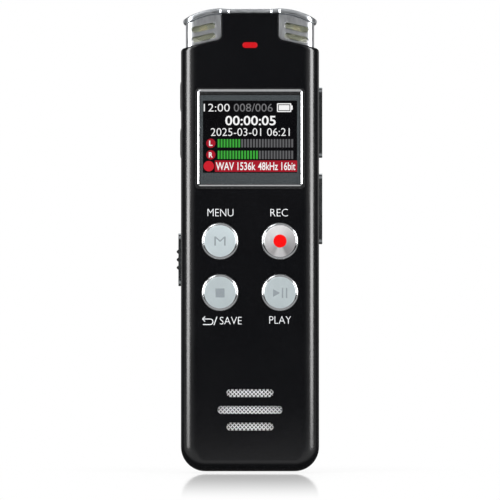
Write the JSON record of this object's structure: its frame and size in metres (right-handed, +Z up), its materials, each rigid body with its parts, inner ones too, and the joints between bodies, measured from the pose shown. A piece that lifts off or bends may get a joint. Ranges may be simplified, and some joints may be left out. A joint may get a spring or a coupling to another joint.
{
  "type": "handheld voice recorder",
  "caption": "Slim upright voice recorder with two microphones, a small screen, round front buttons, side keys, a slide switch and a loudspeaker.",
  "frame": {"origin": "middle of the base, where the upright recorder would stand", "axes": "+Z up along the length, +X to the right seen from the front, front face towards -Y"},
  "size_m": [0.0316, 0.0115, 0.1005],
  "materials": {
    "shell_black": "satin black moulded shell",
    "cap_metal": "polished metal cap",
    "mic_metal": "satin metal housing with polished edges",
    "mic_mesh_metal": "fine woven mesh",
    "speaker_mesh_metal": "fine woven mesh",
    "boot_rubber": "soft moulded rubber",
    "capsule_metal": "drawn metal can",
    "bezel_chrome": "polished bezel",
    "screen_window": "tinted gloss window",
    "panel_black": "gloss display panel",
    "tray_white": "moulded tray",
    "flex_film": "polyimide film",
    "switch_metal": "stamped switch case",
    "pin_steel": "drawn pin",
    "board_green": "solder mask",
    "chip_black": "moulded chip package",
    "parts_ceramic": "small ceramic parts",
    "led_white": "light emitting diode",
    "light_red": "clear red light guide",
    "battery_foil": "foil pouch",
    "lead_red": "insulated wire",
    "lead_black": "insulated wire",
    "basket_steel": "pressed steel basket",
    "cone_film": "pressed cone",
    "magnet_steel": "plated magnet",
    "socket_steel": "drawn steel shell",
    "socket_black": "moulded socket",
    "screw_steel": "plated screw",
    "button_silver": "matt silver button with polished rim",
    "record_silver": "brushed silver button with polished rim",
    "dot_red": "red enamel dot",
    "plunger_black": "moulded plunger",
    "rocker_metal": "gunmetal grey key",
    "key_black": "satin black key",
    "knob_metal": "gunmetal grey knob",
    "lever_black": "moulded lever"
  },
  "bodies": {
    "casing": {"front_shell": "shell_black", "rear_cover": "shell_black", "top_cap": "cap_metal", "mic_housing_left": "mic_metal", "mic_housing_right": "mic_metal", "mic_mesh_left": "mic_mesh_metal", "mic_mesh_right": "mic_mesh_metal", "mic_boot_left": "boot_rubber", "mic_boot_right": "boot_rubber", "mic_capsule_left": "capsule_metal", "mic_capsule_right": "capsule_metal", "mic_leads": "lead_red", "screen_bezel": "bezel_chrome", "screen_lens": "screen_window", "display_panel": "panel_black", "display_frame": "tray_white", "display_flex": "flex_film", "front_switches": "switch_metal", "side_switches": "switch_metal", "slide_switch_body": "switch_metal", "rocker_pins": "pin_steel", "main_board": "board_green", "processor_chip": "chip_black", "memory_chip": "chip_black", "board_parts": "parts_ceramic", "status_led": "led_white", "light_pipe": "light_red", "battery": "battery_foil", "battery_leads": "lead_red", "speaker_basket": "basket_steel", "speaker_cone": "cone_film", "speaker_magnet": "magnet_steel", "speaker_mesh": "speaker_mesh_metal", "speaker_leads": "lead_black", "usb_shell": "socket_steel", "usb_tongue": "socket_black", "jack_body": "socket_black", "board_screws": "screw_steel", "cover_screws": "screw_steel"},
    "menu_key": {"menu_button": "button_silver", "menu_plunger": "plunger_black"},
    "record_key": {"record_button": "record_silver", "record_dot": "dot_red", "record_plunger": "plunger_black"},
    "stop_key": {"stop_button": "button_silver", "stop_plunger": "plunger_black"},
    "play_key": {"play_button": "button_silver", "play_plunger": "plunger_black"},
    "volume_key": {"volume_rocker": "rocker_metal"},
    "volume_up": {"volume_up_plunger": "plunger_black"},
    "volume_down": {"volume_down_plunger": "plunger_black"},
    "skip_key": {"skip_rocker": "rocker_metal"},
    "skip_forward": {"skip_forward_plunger": "plunger_black"},
    "skip_back": {"skip_back_plunger": "plunger_black"},
    "mark_key": {"mark_button": "key_black", "mark_plunger": "plunger_black"},
    "repeat_key": {"repeat_button": "key_black", "repeat_plunger": "plunger_black"},
    "slide_key": {"slide_knob": "knob_metal", "slide_lever": "lever_black"}
  },
  "joints": [
    {"name": "menu_press", "type": "slide", "parent": "casing", "child": "menu_key", "axis": [0, 1, 0], "range_m": [0, 0.0003], "stiffness_N_per_m": 2500},
    {"name": "record_press", "type": "slide", "parent": "casing", "child": "record_key", "axis": [0, 1, 0], "range_m": [0, 0.0003], "stiffness_N_per_m": 2500},
    {"name": "stop_press", "type": "slide", "parent": "casing", "child": "stop_key", "axis": [0, 1, 0], "range_m": [0, 0.0003], "stiffness_N_per_m": 2500},
    {"name": "play_press", "type": "slide", "parent": "casing", "child": "play_key", "axis": [0, 1, 0], "range_m": [0, 0.0003], "stiffness_N_per_m": 2500},
    {"name": "volume_tilt", "type": "hinge", "parent": "casing", "child": "volume_key", "pos_m": [0.0125, 0, 0.0758], "axis": [0, 1, 0], "range_deg": [-1.8, 1.8], "stiffness_Nm_per_rad": 0.24},
    {"name": "volume_up_press", "type": "slide", "parent": "casing", "child": "volume_up", "axis": [1, 0, 0], "range_m": [-0.00016, 0.00016]},
    {"name": "volume_down_press", "type": "slide", "parent": "casing", "child": "volume_down", "axis": [1, 0, 0], "range_m": [-0.00016, 0.00016]},
    {"name": "skip_tilt", "type": "hinge", "parent": "casing", "child": "skip_key", "pos_m": [0.0125, 0, 0.057], "axis": [0, 1, 0], "range_deg": [-1.8, 1.8], "stiffness_Nm_per_rad": 0.24},
    {"name": "skip_forward_press", "type": "slide", "parent": "casing", "child": "skip_forward", "axis": [1, 0, 0], "range_m": [-0.00016, 0.00016]},
    {"name": "skip_back_press", "type": "slide", "parent": "casing", "child": "skip_back", "axis": [1, 0, 0], "range_m": [-0.00016, 0.00016]},
    {"name": "mark_press", "type": "slide", "parent": "casing", "child": "mark_key", "axis": [1, 0, 0], "range_m": [0, 0.00025], "stiffness_N_per_m": 2500},
    {"name": "repeat_press", "type": "slide", "parent": "casing", "child": "repeat_key", "axis": [1, 0, 0], "range_m": [0, 0.00025], "stiffness_N_per_m": 2500},
    {"name": "slide_move", "type": "slide", "parent": "casing", "child": "slide_key", "axis": [0, 0, 1], "range_m": [0, 0.002]}
  ],
  "couplings": [
    {"joint": "volume_up_press", "follows": "volume_tilt", "m_per_rad": 0.005},
    {"joint": "volume_down_press", "follows": "volume_tilt", "m_per_rad": -0.005},
    {"joint": "skip_forward_press", "follows": "skip_tilt", "m_per_rad": 0.005},
    {"joint": "skip_back_press", "follows": "skip_tilt", "m_per_rad": -0.005}
  ]
}
